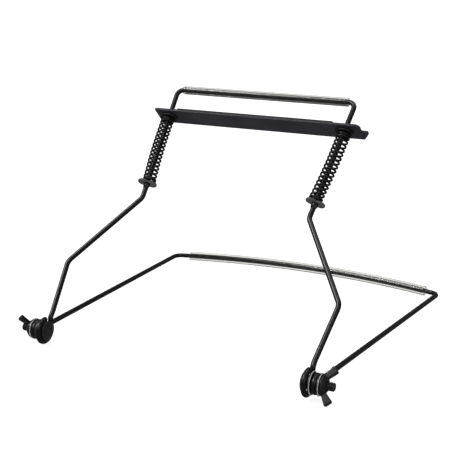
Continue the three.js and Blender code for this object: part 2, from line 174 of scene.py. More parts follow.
# Hollow tube along a line: the outer circles from start to end, then the inner ones back.
# Each cut end is a little askew, by a sine round the tube, and its rims are eased.
def tubeShell(line, outer, inner, around, skew, skewTurn=0.7, ease=0.12, nickShare=0.3):
    direction, circle = circlesAlong(line, around)
    angle = np.linspace(0, tau, around, endpoint=False)[:, None]
    slant = skew * np.sin(angle + skewTurn)
    middle, nick = (outer + inner) / 2, nickShare * ease
    rim = [(outer, ease), (outer - nick, nick), (outer - ease, 0), (middle, 0),
           (inner + ease, 0), (inner + nick, nick), (inner, ease)]
    endRows = []
    for end, way in ((0, 1), (-1, -1)):
        base = line[end] + direction[end] * slant * way
        endRows.append([base + circle[end] * r + direction[end] * d * way for r, d in rim])
    outside = line[1:-1, None] + outer * circle[1:-1]
    inside = line[1:-1, None] + inner * circle[1:-1]
    rows = np.concatenate([outside, endRows[1], inside[::-1], endRows[0][::-1]])
    return gridShell(rows, wrapRows=True)


# Turned body about the third axis: profile points of (radius, height), each a circle
def turnedShell(profile, around, closed=False, radiusAt=None):
    angle = np.linspace(0, tau, around, endpoint=False)[None]
    radius, height = profile[:, :1], profile[:, 1:]
    if radiusAt is not None:
        radius = radiusAt(radius, height, angle)
    radius = radius + 0 * angle
    rows = np.stack([radius * np.cos(angle), radius * np.sin(angle), height + 0 * angle], 2)
    return gridShell(rows, wrapRows=closed, poles=not closed)


# Closed outline moved to its left by a distance: each corner goes along the sum of its two
# sides' normals, over one plus their product.
def insetOutline(outline, distance):
    side = np.roll(outline, -1, 0) - outline
    side = side / np.linalg.norm(side, axis=1)[:, None]
    left = np.stack([-side[:, 1], side[:, 0]], 1)
    before = np.roll(left, 1, 0)
    return outline + distance * (left + before) / (1 + (left * before).sum(1))[:, None]


# The sum of the corners' cross products is positive for an outline that runs
# counterclockwise. One that runs the unwanted way is reversed.
def counterclockwise(outline, wanted=True):
    following = np.roll(outline, -1, 0)
    area = (outline[:, 0] * following[:, 1] - following[:, 0] * outline[:, 1]).sum()
    return outline if (area > 0) == wanted else outline[::-1]


# Plate with eased edges. Its outline and holes are carried up from the low face to the high
# one, set in by a quarter circle of the easing at both, and the flats are filled between them.
def plateShell(outlines, low, high, ease, steps=4, rim=0.12):
    turn = np.linspace(0, quarter, steps + 1)
    climb = ease * (1 - np.cos(turn))
    inset = ease * (1 - np.sin(turn))
    insets = np.concatenate([[ease + rim], inset, inset[::-1], [ease + rim]])
    heights = np.concatenate([[low], low + climb, high - climb[::-1], [high]])
    points, faces, uvs, lowLoops, highLoops, start = [], [], [], [], [], 0
    for i, outline in enumerate(outlines):
        outline = counterclockwise(np.asarray(outline, float), i == 0)
        rows = np.stack([np.column_stack([insetOutline(outline, d), np.full(len(outline), h)])
                         for d, h in zip(insets, heights)])
        shellPoints, shellFaces, shellUvs = gridShell(rows)
        points.append(shellPoints)
        faces += (np.array(shellFaces) + start).tolist()
        uvs.append(shellUvs)
        lowLoops.append((rows[0], start))
        highLoops.append((rows[-1], start + (len(rows) - 1) * len(outline)))
        start += len(shellPoints)
    for loops in (lowLoops, highLoops):
        flat = tessellate_polygon([[Vector((x, y, 0)) for x, y, _ in ring] for ring, _ in loops])
        numbers = np.concatenate([first + np.arange(len(ring)) for ring, first in loops])
        triangles = numbers[np.array(flat)]
        faces += triangles.tolist()
        uvs.append(np.zeros((3 * len(triangles), 2)))
    return np.concatenate(points), faces, np.concatenate(uvs)


# Angles round a slot, half a step off its middle line so that no point lies on it
def slotAngles(around):
    return np.linspace(0, tau, around, endpoint=False) + tau / around / 2


# Slot's outline: a circle whose left and right halves are moved out by half the straight
def slotOutline(middle, halfWidth, halfStraight, around=56):
    angle = slotAngles(around)
    shift = halfStraight * np.sign(np.cos(angle))
    return np.column_stack([middle + shift + halfWidth * np.cos(angle), halfWidth * np.sin(angle)])


# Ring with a slot's outline: profile points of (radius, height) carried round it the same way
def slotShell(profile, halfStraight, around=72):
    angle = slotAngles(around)
    shift = halfStraight * np.sign(np.cos(angle))
    radius, height = profile[:, :1], profile[:, 1:]
    rows = np.stack([shift + radius * np.cos(angle), radius * np.sin(angle),
                     height + 0 * angle], 2)
    return gridShell(rows, wrapRows=True)


def meshFrom(name, shells):
    points, faces, uvs, start = [], [], [], 0
    for shellPoints, shellFaces, shellUvs in shells:
        points.append(shellPoints)
        faces += [[corner + start for corner in face] for face in shellFaces]
        uvs.append(shellUvs)
        start += len(shellPoints)
    mesh = bpy.data.meshes.new(name)
    mesh.from_pydata(np.concatenate(points).tolist(), [], faces)
    layer = mesh.uv_layers.new(name="along")
    layer.data.foreach_set("uv", np.concatenate(uvs).astype(np.float32).ravel())
    bm = bmesh.new()
    bm.from_mesh(mesh)
    bmesh.ops.recalc_face_normals(bm, faces=bm.faces)
    bm.to_mesh(mesh)
    bm.free()
    mesh.polygons.foreach_set("use_smooth", np.ones(len(mesh.polygons), bool))
    mesh.update()
    return mesh


# Attribute "edge": how sharply the surface bends outwards at each vertex, 1 where it bends
# with the given radius in millimetres. Along a mesh edge, the far end's fall below the near
# end's tangent plane over half the length squared is a curvature, and the largest counts.
def markEdges(mesh, radius, smallest=1e-14):
    points = np.empty(len(mesh.vertices) * 3)
    mesh.vertices.foreach_get("co", points)
    normals = np.empty(len(mesh.vertices) * 3)
    mesh.vertices.foreach_get("normal", normals)
    ends = np.empty(len(mesh.edges) * 2, int)
    mesh.edges.foreach_get("vertices", ends)
    points, normals, ends = points.reshape(-1, 3), normals.reshape(-1, 3), ends.reshape(-1, 2)
    near, far = np.concatenate([ends, ends[:, ::-1]]).T
    step = points[far] - points[near]
    bend = -2 * (step * normals[near]).sum(1) / np.maximum((step ** 2).sum(1), smallest)
    sharpest = np.zeros(len(points))
    np.maximum.at(sharpest, near, bend)
    marks = np.clip(sharpest * radius * mm, 0, 1).astype(np.float32)
    mesh.attributes.new("edge", "FLOAT", "POINT").data.foreach_set("value", marks)


def linked(thing):
    bpy.context.scene.collection.objects.link(thing)
    return thing


def piece(name, shells, material, nodes, body=None, edgeRadius=0.35):
    mesh = meshFrom(name, shells)
    markEdges(mesh, edgeRadius)
    mesh.materials.append(material)
    made = linked(bpy.data.objects.new(name, mesh))
    if body:
        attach(made, body)
    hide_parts(*nodes)
    return made


# Node with settings, and inputs that are either another node's output or a value
def addNode(tree, kind, inputs=None, **settings):
    made = tree.nodes.new(kind)
    for key, value in settings.items():
        setattr(made, key, value)
    for key, value in (inputs or {}).items():
        if isinstance(value, bpy.types.NodeSocket):
            tree.links.new(value, made.inputs[key])
        else:
            made.inputs[key].default_value = value
    return made


def newGroup(name, inputs, outputs):
    tree = bpy.data.node_groups.new(name, "ShaderNodeTree")
    for label, kind, value in inputs:
        socket = tree.interface.new_socket(label, in_out="INPUT", socket_type=kind)
        if value is not None:
            socket.default_value = value
    for label, kind in outputs:
        tree.interface.new_socket(label, in_out="OUTPUT", socket_type=kind)
    given = tree.nodes.new("NodeGroupInput").outputs
    return tree, given, tree.nodes.new("NodeGroupOutput").inputs


def usedGroup(tree, group, inputs):
    return addNode(tree, "ShaderNodeGroup", inputs, node_tree=group).outputs


def mathNode(tree, operation, a, b=0.0, clamp=False):
    made = addNode(tree, "ShaderNodeMath", {0: a, 1: b}, operation=operation, use_clamp=clamp)
    return made.outputs[0]


def noiseNode(tree, place, scale, detail, roughness):
    made = addNode(tree, "ShaderNodeTexNoise",
                   {"Vector": place, "Scale": scale, "Detail": detail, "Roughness": roughness})
    return made.outputs[0]


# Value between two limits, stretched to lie between two others and held there
def remapped(tree, value, fromMin, fromMax, toMin=0.0, toMax=1.0):
    made = addNode(tree, "ShaderNodeMapRange",
                   {0: value, 1: fromMin, 2: fromMax, 3: toMin, 4: toMax})
    return made.outputs[0]


# Mix of two colours, each another mix or three numbers
def mixedColor(tree, share, low, high):
    low, high = (color if isinstance(color, bpy.types.NodeSocket) else (*color, 1)
                 for color in (low, high))
    made = addNode(tree, "ShaderNodeMix", {0: share, 6: low, 7: high}, data_type="RGBA")
    return made.outputs[2]


def newMaterial(name):
    material = bpy.data.materials.new(name)
    material.use_nodes = True
    tree = material.node_tree
    return material, tree, tree.nodes["Principled BSDF"]


floatKind, vectorKind = "NodeSocketFloat", "NodeSocketVector"

# Lengthwise draw lines of a wire: noise on the way round and the length, long along the wire
drawn = {"detail": 4.0, "roughness": 0.65, "shadeFrom": 0.3, "shadeTo": 0.72}
drawnLines, given, made = newGroup(
    "drawn lines",
    [("Along", vectorKind, None), ("Fineness", floatKind, 5.0), ("Length", floatKind, 60.0)],
    [("Height", floatKind), ("Shade", floatKind)])
split = addNode(drawnLines, "ShaderNodeSeparateXYZ", {0: given["Along"]})
turnShare = mathNode(drawnLines, "MULTIPLY", split.outputs[0], tau)
roundX = mathNode(drawnLines, "COSINE", turnShare)
roundY = mathNode(drawnLines, "SINE", turnShare)
lengthwise = mathNode(drawnLines, "MULTIPLY", split.outputs[1], given["Length"])
spot = addNode(drawnLines, "ShaderNodeCombineXYZ", {0: roundX, 1: roundY, 2: lengthwise})
lines = noiseNode(drawnLines, spot.outputs[0], given["Fineness"],
                  drawn["detail"], drawn["roughness"])
drawnLines.links.new(lines, made["Height"])
drawnLines.links.new(remapped(drawnLines, lines, drawn["shadeFrom"], drawn["shadeTo"]),
                     made["Shade"])

# Grain of a coat or a casting: coarse patches for the gloss, fine grain for the height
coarse = {"detail": 5.0, "roughness": 0.62, "from": 0.32, "to": 0.68}
fine = {"detail": 3.0, "roughness": 0.6, "speckScale": 0.45, "speckFrom": 0.16, "speckTo": 0.05}
coatGrain, given, made = newGroup(
    "coat grain",
    [("Place", vectorKind, None), ("Grain", floatKind, 3000.0), ("Patches", floatKind, 90.0)],
    [("Height", floatKind), ("Patch", floatKind), ("Speck", floatKind)])
grain = noiseNode(coatGrain, given["Place"], given["Grain"], fine["detail"], fine["roughness"])
patches = noiseNode(coatGrain, given["Place"], given["Patches"],
                    coarse["detail"], coarse["roughness"])
speckScale = mathNode(coatGrain, "MULTIPLY", given["Grain"], fine["speckScale"])
specks = addNode(coatGrain, "ShaderNodeTexVoronoi", {"Vector": given["Place"], "Scale": speckScale})
coatGrain.links.new(grain, made["Height"])
coatGrain.links.new(remapped(coatGrain, patches, coarse["from"], coarse["to"]), made["Patch"])
coatGrain.links.new(remapped(coatGrain, specks.outputs[0], fine["speckFrom"], fine["speckTo"]),
                    made["Speck"])

# Coat worn off where the surface bends, and on the washers a painted rim highlight: the edge
# attribute, broken up by noise
wearAndGlint = {"detail": 4.0, "roughness": 0.7, "fade": 0.28}
wornEdgeAndGlint, given, made = newGroup(
    "worn edge and rim glint",
    [("Place", vectorKind, None), ("Edge", floatKind, 0.0), ("Start", floatKind, 0.5),
     ("Breakup", floatKind, 0.5), ("Size", floatKind, 700.0)],
    [("Mask", floatKind)])
breakupNoise = noiseNode(wornEdgeAndGlint, given["Place"], given["Size"], wearAndGlint["detail"], wearAndGlint["roughness"])
swing = mathNode(wornEdgeAndGlint, "MULTIPLY", mathNode(wornEdgeAndGlint, "SUBTRACT", breakupNoise, 0.5),
                 mathNode(wornEdgeAndGlint, "MULTIPLY", given["Breakup"], 2.0))
broken = mathNode(wornEdgeAndGlint, "ADD", given["Edge"], swing)
wornAndGlint = mathNode(wornEdgeAndGlint, "SUBTRACT", broken, given["Start"])
wornEdgeAndGlint.links.new(remapped(wornEdgeAndGlint, wornAndGlint, 0.0, wearAndGlint["fade"]), made["Mask"])

# Thin film of dust that lies on what faces up
dust = {"color": (0.32, 0.31, 0.30), "scale": 900.0, "detail": 6.0, "roughness": 0.75,
        "thinAt": 0.42, "thickAt": 0.75, "steepest": 0.1}
dustFilm, given, made = newGroup(
    "dust film",
    [("Place", vectorKind, None), ("Amount", floatKind, 0.1)],
    [("Mask", floatKind)])
facing = addNode(dustFilm, "ShaderNodeNewGeometry")
upward = addNode(dustFilm, "ShaderNodeSeparateXYZ", {0: facing.outputs["Normal"]})
lying = remapped(dustFilm, upward.outputs[2], dust["steepest"], 1.0)
motes = noiseNode(dustFilm, given["Place"], dust["scale"], dust["detail"], dust["roughness"])
thick = remapped(dustFilm, motes, dust["thinAt"], dust["thickAt"])
cover = mathNode(dustFilm, "MULTIPLY", lying, thick)
dustFilm.links.new(mathNode(dustFilm, "MULTIPLY", cover, given["Amount"]), made["Mask"])

# What all finishes share: the grain's part of the height beside draw lines, the part that
# patches and draw lines each have in the shade, and how much rougher a speck is
mixture = {"grainHeight": 0.4, "shadePart": 0.5, "speckRough": 0.12}


# Output of the draw lines with the fineness and length of the look
def lookLines(tree, look):
    along = addNode(tree, "ShaderNodeUVMap", uv_map="along").outputs[0]
    return usedGroup(tree, drawnLines, {"Along": along, "Fineness": look["lines"],
                                        "Length": look["lineLength"]})


def addBump(tree, shader, height, look):
    bump = addNode(tree, "ShaderNodeBump", {"Height": height, "Strength": look["bump"],
                                            "Distance": look["depth"] * mm})
    tree.links.new(bump.outputs[0], shader.inputs["Normal"])


# One finish: a coat with grain, gloss patches, worn edges that show another colour (on the washers
# a painted rim highlight), and dust
def finishMaterial(name, look):
    material, tree, shader = newMaterial(name)
    place = addNode(tree, "ShaderNodeTexCoord").outputs["Object"]
    coat = usedGroup(tree, coatGrain, {"Place": place, "Grain": look["grain"],
                                       "Patches": look["patches"]})
    height, shade = coat["Height"], coat["Patch"]
    if "lines" in look:
        along = lookLines(tree, look)
        height = mathNode(tree, "ADD", mathNode(tree, "MULTIPLY", height, mixture["grainHeight"]),
                          along["Height"])
        shade = mathNode(tree, "MULTIPLY", mathNode(tree, "ADD", shade, along["Shade"]),
                         mixture["shadePart"])
    edge = addNode(tree, "ShaderNodeAttribute", attribute_name="edge").outputs["Fac"]
    wornAndGlint = usedGroup(tree, wornEdgeAndGlint, {"Place": place, "Edge": edge, "Start": look["edgeStart"],
                                      "Breakup": look["edgeBreakup"]})[0]
    dusted = usedGroup(tree, dustFilm, {"Place": place, "Amount": look["dust"]})[0]

    color = mixedColor(tree, shade, look["dark"], look["pale"])
    # Edges take the worn colour; on the washers that colour is a painted highlight along the rims
    color = mixedColor(tree, wornAndGlint, color, look["bare"])
    color = mixedColor(tree, dusted, color, dust["color"])
    tree.links.new(color, shader.inputs["Base Color"])

    speckRough = mathNode(tree, "MULTIPLY", coat["Speck"], mixture["speckRough"])
    shine = mathNode(tree, "MULTIPLY", wornAndGlint, look["bareShine"])
    rough = remapped(tree, shade, 0.0, 1.0, *look["rough"])
    rough = mathNode(tree, "ADD", rough, speckRough)
    rough = mathNode(tree, "SUBTRACT", rough, shine)
    rough = mathNode(tree, "ADD", rough, dusted, clamp=True)
    tree.links.new(rough, shader.inputs["Roughness"])
    if look["bareMetal"]:
        metal = remapped(tree, wornAndGlint, 0.0, 1.0, look["metal"], 1.0)
        tree.links.new(metal, shader.inputs["Metallic"])
    else:
        shader.inputs["Metallic"].default_value = look["metal"]
    shader.inputs["Specular IOR Level"].default_value = look["specular"]
    addBump(tree, shader, height, look)
    return material


blackWire = finishMaterial("satin black wire", {
    "dark": (0.0016, 0.0014, 0.0018), "pale": (0.0042, 0.0039, 0.0045),
    "bare": (0.07, 0.068, 0.066), "rough": (0.27, 0.37), "specular": 0.36,
    "metal": 0.0, "bareMetal": True, "bareShine": 0.03,
    "grain": 2600.0, "patches": 130.0, "lines": 5.0, "lineLength": 45.0,
    "edgeStart": 0.86, "edgeBreakup": 0.35, "dust": 0.015, "bump": 0.14, "depth": 0.03})
blackPlate = finishMaterial("black sheet steel", {
    "dark": (0.0125, 0.0122, 0.0165), "pale": (0.0215, 0.0208, 0.0265),
    "bare": (0.14, 0.14, 0.145), "rough": (0.42, 0.58), "specular": 0.22,
    "metal": 0.0, "bareMetal": True, "bareShine": 0.1,
    "grain": 3600.0, "patches": 75.0,
    "edgeStart": 0.78, "edgeBreakup": 0.42, "dust": 0.03, "bump": 0.35, "depth": 0.06})
greyPlate = finishMaterial("grey-black sheet steel", {
    "dark": (0.041, 0.041, 0.043), "pale": (0.070, 0.070, 0.072),
    "bare": (0.2, 0.2, 0.2), "rough": (0.38, 0.55), "specular": 0.25,
    "metal": 0.0, "bareMetal": True, "bareShine": 0.1,
    "grain": 3200.0, "patches": 160.0,
    "edgeStart": 0.8, "edgeBreakup": 0.4, "dust": 0.03, "bump": 0.35, "depth": 0.06})
blackFastener = finishMaterial("black plated steel", {
    "dark": (0.006, 0.006, 0.0068), "pale": (0.016, 0.0155, 0.017),
    "bare": (0.2, 0.195, 0.19), "rough": (0.28, 0.42), "specular": 0.3,
    "metal": 0.0, "bareMetal": True, "bareShine": 0.06,
    "grain": 3000.0, "patches": 220.0,
    "edgeStart": 1.15, "edgeBreakup": 0.4, "dust": 0.02, "bump": 0.22, "depth": 0.05})
# The washers' pale rim colour is a painted highlight: the bright crescents of reflected light laid
# on their rims as colour
brightWasher = finishMaterial("dark washer with painted rim highlight", {
    "dark": (0.012, 0.0118, 0.0125), "pale": (0.024, 0.0235, 0.0245),
    "bare": (0.62, 0.61, 0.60), "rough": (0.34, 0.46), "specular": 0.5,
    "metal": 0.3, "bareMetal": False, "bareShine": 0.04,
    "grain": 3000.0, "patches": 260.0,
    "edgeStart": 0.72, "edgeBreakup": 0.08, "dust": 0.01, "bump": 0.12, "depth": 0.04})
blackCasting = finishMaterial("black cast wing nut", {
    "dark": (0.0035, 0.0035, 0.004), "pale": (0.0095, 0.0093, 0.0102),
    "bare": (0.06, 0.058, 0.057), "rough": (0.32, 0.48), "specular": 0.24,
    "metal": 0.0, "bareMetal": True, "bareShine": 0.1,
    "grain": 2100.0, "patches": 260.0,
    "edgeStart": 0.8, "edgeBreakup": 0.5, "dust": 0.04, "bump": 0.6, "depth": 0.12})
springOxide = finishMaterial("black oxide spring wire", {
    "dark": (0.0035, 0.0034, 0.0038), "pale": (0.010, 0.0095, 0.0095),
    "bare": (0.12, 0.115, 0.11), "rough": (0.24, 0.38), "specular": 0.25,
    "metal": 0.0, "bareMetal": True, "bareShine": 0.05,
    "grain": 3500.0, "patches": 300.0, "lines": 6.0, "lineLength": 150.0,
    "edgeStart": 1.2, "edgeBreakup": 0.4, "dust": 0.02, "bump": 0.2, "depth": 0.03})
blackNylon = finishMaterial("black nylon", {
    "dark": (0.003, 0.003, 0.0033), "pale": (0.007, 0.007, 0.0075),
    "bare": (0.016, 0.016, 0.017), "rough": (0.42, 0.55), "specular": 0.14,
    "metal": 0.0, "bareMetal": False, "bareShine": 0.12,
    "grain": 2800.0, "patches": 200.0,
    "edgeStart": 0.7, "edgeBreakup": 0.5, "dust": 0.05, "bump": 0.25, "depth": 0.05})
blackRubber = finishMaterial("black rubber", {
    "dark": (0.004, 0.004, 0.0045), "pale": (0.009, 0.009, 0.0095),
    "bare": (0.015, 0.015, 0.016), "rough": (0.72, 0.86), "specular": 0.2,
    "metal": 0.0, "bareMetal": False, "bareShine": 0.05,
    "grain": 2400.0, "patches": 180.0,
    "edgeStart": 0.8, "edgeBreakup": 0.5, "dust": 0.08, "bump": 0.5, "depth": 0.08})


# Clear soft plastic: light goes through it almost unbent, and a coat gives it its highlights
def clearTubeMaterial(name, look):
    material, tree, shader = newMaterial(name)
    place = addNode(tree, "ShaderNodeTexCoord").outputs["Object"]
    along = lookLines(tree, look)
    film = usedGroup(tree, dustFilm, {"Place": place, "Amount": look["dust"]})[0]
    tree.links.new(mixedColor(tree, film, look["clear"], look["film"]),
                   shader.inputs["Base Color"])
    rough = remapped(tree, along["Shade"], 0.0, 1.0, *look["rough"])
    tree.links.new(mathNode(tree, "ADD", rough, film), shader.inputs["Roughness"])
    addBump(tree, shader, along["Height"], look)
    shader.inputs["IOR"].default_value = look["ior"]
    shader.inputs["Transmission Weight"].default_value = 1.0
    shader.inputs["Coat Weight"].default_value = look["coat"]
    shader.inputs["Coat Roughness"].default_value = look["coatRough"]
    return material


clearTube = clearTubeMaterial("clear soft tube", {
    "clear": (0.64, 0.63, 0.61), "film": (0.60, 0.59, 0.58), "rough": (0.015, 0.05),
    "lines": 3.0, "lineLength": 25.0, "dust": 0.02, "bump": 0.015, "depth": 0.1,
    "ior": 1.12, "coat": 1.0, "coatRough": 0.27})

print("finishes ready")


wire = {"diameter": 3.1, "neckBend": 5.0, "tailGap": 0.5, "neckStraight": 1.5,
        "ringSteps": 90, "neckSteps": 24, "bendSteps": 14}
wireRadius = wire["diameter"] / 2


# The eye lies in a plane of constant x: a ring from the cut end round to the neck, then a
# bend the other way into the straight.
def eyeLine(plane, radius):
    bend = wire["neckBend"]
    neckAngle = np.arcsin(bend / (radius + bend))
    neckStart = (radius + bend) * np.cos(neckAngle)
    tailAngle = np.arcsin((wire["diameter"] + wire["tailGap"]) / radius)
    ring = np.linspace(tailAngle, tau - neckAngle, wire["ringSteps"])[:, None]
    back = np.linspace(np.pi - neckAngle, quarter, wire["neckSteps"])[1:, None]
    y = np.concatenate([radius * np.cos(ring), neckStart + bend * np.cos(back)])
    z = np.concatenate([radius * np.sin(ring), bend * np.sin(back) - bend])
    return np.hstack([np.full_like(y, plane), y, z]), neckStart + wire["neckStraight"]


# Right half from the eye over its corners, then the same mirrored back to the left eye
def pairedLine(plane, eyeRadius, corners, radii, step):
    eye, straightEnd = eyeLine(plane, eyeRadius)
    half = filleted(np.vstack([[plane, straightEnd, 0], corners]), [0, *radii],
                    steps=wire["bendSteps"])
    half = np.concatenate([eye, half])
    mirrored = half[::-1] * [-1, 1, 1]
    return resampled(np.concatenate([half, mirrored]), step)


# Places across the holder, out from its middle: between the eyes are a washer and two gaps,
# and each drawn washer stands a gap of its own off the eye inside it.
stack = {"yokeEye": 88.5, "yokeEyeRadius": 4.4, "frameEyeRadius": 6.6, "gap": 0.3,
         "washer": 1.1, "middleGap": 0.06, "outerGap": 0.05}
stack["frameEye"] = (stack["yokeEye"] - wire["diameter"] - stack["washer"]
                     - 2 * stack["gap"])

# Lengths go up from the pivot, half widths out from the middle
upright = {"kneeLength": 46.0, "kneeHalfWidth": 87.8, "waistLength": 95.6,
           "waistHalfWidth": 55.1, "topLength": 177.0, "topHalfWidth": 60.6,
           "kneeRadius": 7.0, "waistRadius": 6.0, "topRadius": 4.2, "step": 0.6}
upright["lean"] = np.arctan2(upright["topHalfWidth"] - upright["waistHalfWidth"],
                             upright["topLength"] - upright["waistLength"])

ears = {"middle": 104.4, "half": 0.8, "fade": 1.1, "width": 4.5, "thickness": 2.1}


# Rise from 0 to 1 that starts and ends level: three squares less two cubes
def smoothStep(share):
    return share * share * (3 - 2 * share)


# Pinched ears under the spring seats: near their place along the wire the round section is
# widened in the frame's plane and thinned square to it, eased in and out.
def pinched(line, offsets):
    away = np.abs(line[:, 1] - ears["middle"])
    share = np.clip((ears["half"] + ears["fade"] - away) / ears["fade"], 0, 1)
    share = smoothStep(share)[:, None, None]
    wide = 1 + share * (ears["width"] / wire["diameter"] - 1)
    thin = 1 + share * (ears["thickness"] / wire["diameter"] - 1)
    through = offsets * [0, 0, 1]
    return (offsets - through) * wide + through * thin


frameCorners = [[upright["kneeHalfWidth"], upright["kneeLength"], 0],
                [upright["waistHalfWidth"], upright["waistLength"], 0],
                [upright["topHalfWidth"], upright["topLength"], 0],
                [0, upright["topLength"], 0]]
frameRadii = [upright["kneeRadius"], upright["waistRadius"], upright["topRadius"], 0]
frameLine = pairedLine(stack["frameEye"], stack["frameEyeRadius"], frameCorners, frameRadii,
                       upright["step"])
piece("frameWire", [placed(rodShell(frameLine, wireRadius, shaped=pinched), framePlace)],
      blackWire, ["upper_frame"], "upper_frame")

yoke = {"neckDepth": 202.0, "neckHalfWidth": 99.2, "neckBow": 16.3, "bowFrom": 90,
        "bowSteps": 46, "cornerRadius": 6.0, "restRadius": 3.0, "step": 2.0}
# The neck's far end rests on the surface, so the yoke dips from the pivot's height
yokeDip = np.arcsin((pivot[2] / mm - yoke["restRadius"]) / yoke["neckDepth"])
yokePlace = placeAlong([0, np.cos(yokeDip), -np.sin(yokeDip)])
neckRadius = (yoke["neckHalfWidth"] ** 2 + yoke["neckBow"] ** 2) / (2 * yoke["neckBow"])


# Circle through both corners and the bow's deepest point: the depth is the deepest one less
# the radius, plus the root of the radius squared less x squared.
def neckPoints(x):
    x = np.asarray(x, float)
    depth = yoke["neckDepth"] - neckRadius + np.sqrt(neckRadius ** 2 - x ** 2)
    return np.stack([x, depth, 0 * x], 1)


neckX = np.concatenate([[yoke["neckHalfWidth"]],
                        np.linspace(yoke["bowFrom"], 0, yoke["bowSteps"])])
yokeLine = pairedLine(stack["yokeEye"], stack["yokeEyeRadius"], neckPoints(neckX),
                      [yoke["cornerRadius"], *[0] * yoke["bowSteps"]], yoke["step"])
piece("yokeWire", [placed(rodShell(yokeLine, wireRadius), yokePlace)],
      blackWire, ["neck_yoke"], "yoke")

# The bore is a little smaller than the wire, so no gap shows between the two
neckTube = {"outer": 3.1, "inner": 1.5, "halfWidth": 89.3, "stations": 150, "around": 48,
            "skew": 0.25}
neckTubeLine = neckPoints(np.linspace(neckTube["halfWidth"], -neckTube["halfWidth"],
                                      neckTube["stations"]))
neckTubeShell = tubeShell(neckTubeLine, neckTube["outer"], neckTube["inner"],
                          neckTube["around"], neckTube["skew"])
piece("neckTube", [placed(neckTubeShell, yokePlace)],
      clearTube, ["neck_sleeve"], "yoke")

crossTube = {"outer": 2.7, "inner": 1.5, "halfLength": 56.0, "stations": 90, "around": 40,
             "skew": 0.15, "ease": 0.1}
crossTubeLine = np.linspace([crossTube["halfLength"], upright["topLength"], 0],
                            [-crossTube["halfLength"], upright["topLength"], 0],
                            crossTube["stations"])
crossTubeShell = tubeShell(crossTubeLine, crossTube["outer"], crossTube["inner"],
                           crossTube["around"], crossTube["skew"], ease=crossTube["ease"])
piece("crossTube", [placed(crossTubeShell, framePlace)],
      clearTube, ["cross_rod_sleeve"], "upper_frame")
print("wires and tubes bent")


bar = {"underside": 156.2, "thickness": 1.5, "width": 14.0, "shift": -0.4,
       "leftOverhang": 8.5, "leftRadius": 0.7, "rightOverhang": 10.5, "rightRadius": 3.4,
       "tabReach": 4.0, "tabWidth": 8.0, "chamferLength": 3.4, "chamferDepth": 5.6,
       "tabRadii": (0.8, 0.8, 0.7, 0.6), "ease": 0.3, "slotHalfWidth": 3.05, "step": 1.5}
# The slip is half of the slot's straight, which lets the bar follow the leaning uprights
bush = {"bore": 1.8, "wall": 0.9, "flangeLip": 1.6, "flange": 1.4, "collarLip": 0.8,
        "collar": 0.9, "gap": 0.06, "slip": 1.216, "step": 0.4,
        "radii": (0.2, 0.4, 0.25, 0, 0, 0.15, 0.3, 0.2)}
barTop = bar["underside"] + bar["thickness"]
bushPlace = (upright["waistHalfWidth"]
             + np.tan(upright["lean"]) * (bar["underside"] - upright["waistLength"]))
barPlace = (framePlace[0], framePlace[1][[0, 2, 1]])

front, back = bar["shift"] + bar["width"] / 2, bar["shift"] - bar["width"] / 2
leftEnd, rightEnd = -bushPlace - bar["leftOverhang"], bushPlace + bar["rightOverhang"]
tabEnd, tabFront = rightEnd + bar["tabReach"], back + bar["tabWidth"]
barOutline = filleted(
    [[leftEnd, back], [tabEnd - bar["chamferLength"], back], [tabEnd, back + bar["chamferDepth"]],
     [tabEnd, tabFront], [rightEnd, tabFront], [rightEnd, front], [leftEnd, front]],
    [bar["leftRadius"], *bar["tabRadii"], bar["rightRadius"], bar["leftRadius"]],
    closed=True, steps=10)
barOutline = resampled(barOutline, bar["step"], closed=True)
barHoles = [slotOutline(side * bushPlace, bar["slotHalfWidth"], bush["slip"]) for _, side in sides]
barShell = plateShell([barOutline, *barHoles], bar["underside"], barTop, bar["ease"])
piece("clampBar", [placed(barShell, barPlace)],
      blackPlate, ["clamp_bar"], "clamp_bar")

# The pad's low and high faces stand over the bar's top
pad = {"halfLength": 52.5, "halfWidth": 6.2, "low": 0.03, "high": 1.3, "corner": 0.8,
       "ease": 0.3, "step": 2.0}
padOutline = filleted([[x * pad["halfLength"], bar["shift"] + z * pad["halfWidth"]]
                       for x, z in ((-1, -1), (1, -1), (1, 1), (-1, 1))],
                      [pad["corner"]] * 4, closed=True)
padOutline = resampled(padOutline, pad["step"], closed=True)
padShell = plateShell([padOutline], barTop + pad["low"], barTop + pad["high"], pad["ease"])
piece("barPad", [placed(padShell, barPlace)],
      blackRubber, ["bar_pad"], "clamp_bar")

flangeTop = bar["underside"] - bush["gap"]
flangeLow = flangeTop - bush["flange"]
collarLow = barTop + bush["gap"]
collarTop = collarLow + bush["collar"]
barrel = bush["bore"] + bush["wall"]
flangeEdge, collarEdge = barrel + bush["flangeLip"], barrel + bush["collarLip"]
bushProfile = filleted(
    [[bush["bore"], flangeLow], [flangeEdge, flangeLow], [flangeEdge, flangeTop],
     [barrel, flangeTop], [barrel, collarLow], [collarEdge, collarLow],
     [collarEdge, collarTop], [bush["bore"], collarTop]],
    bush["radii"], closed=True, steps=6)
bushProfile = resampled(bushProfile, bush["step"], closed=True)
for sideName, side in sides:
    place = (barPlace[0] + mm * side * bushPlace * acrossHolder, barPlace[1])
    piece(f"{sideName}Bush", [placed(slotShell(bushProfile, bush["slip"]), place)],
          blackNylon, [f"{sideName}_bar_bush"], "clamp_bar")
print("clamp bar, pad and bushes cut")


# The seat's faces lie below and above its place along the upright
seat = {"length": 106.3, "low": -0.62, "high": 0.5, "lobe": 3.5, "spacing": 5.0, "waist": 5.6,
        "lobeSteps": 44, "step": 0.6, "hole": 1.75, "holeSteps": 40, "ease": 0.22,
        "twist": np.radians(-30)}
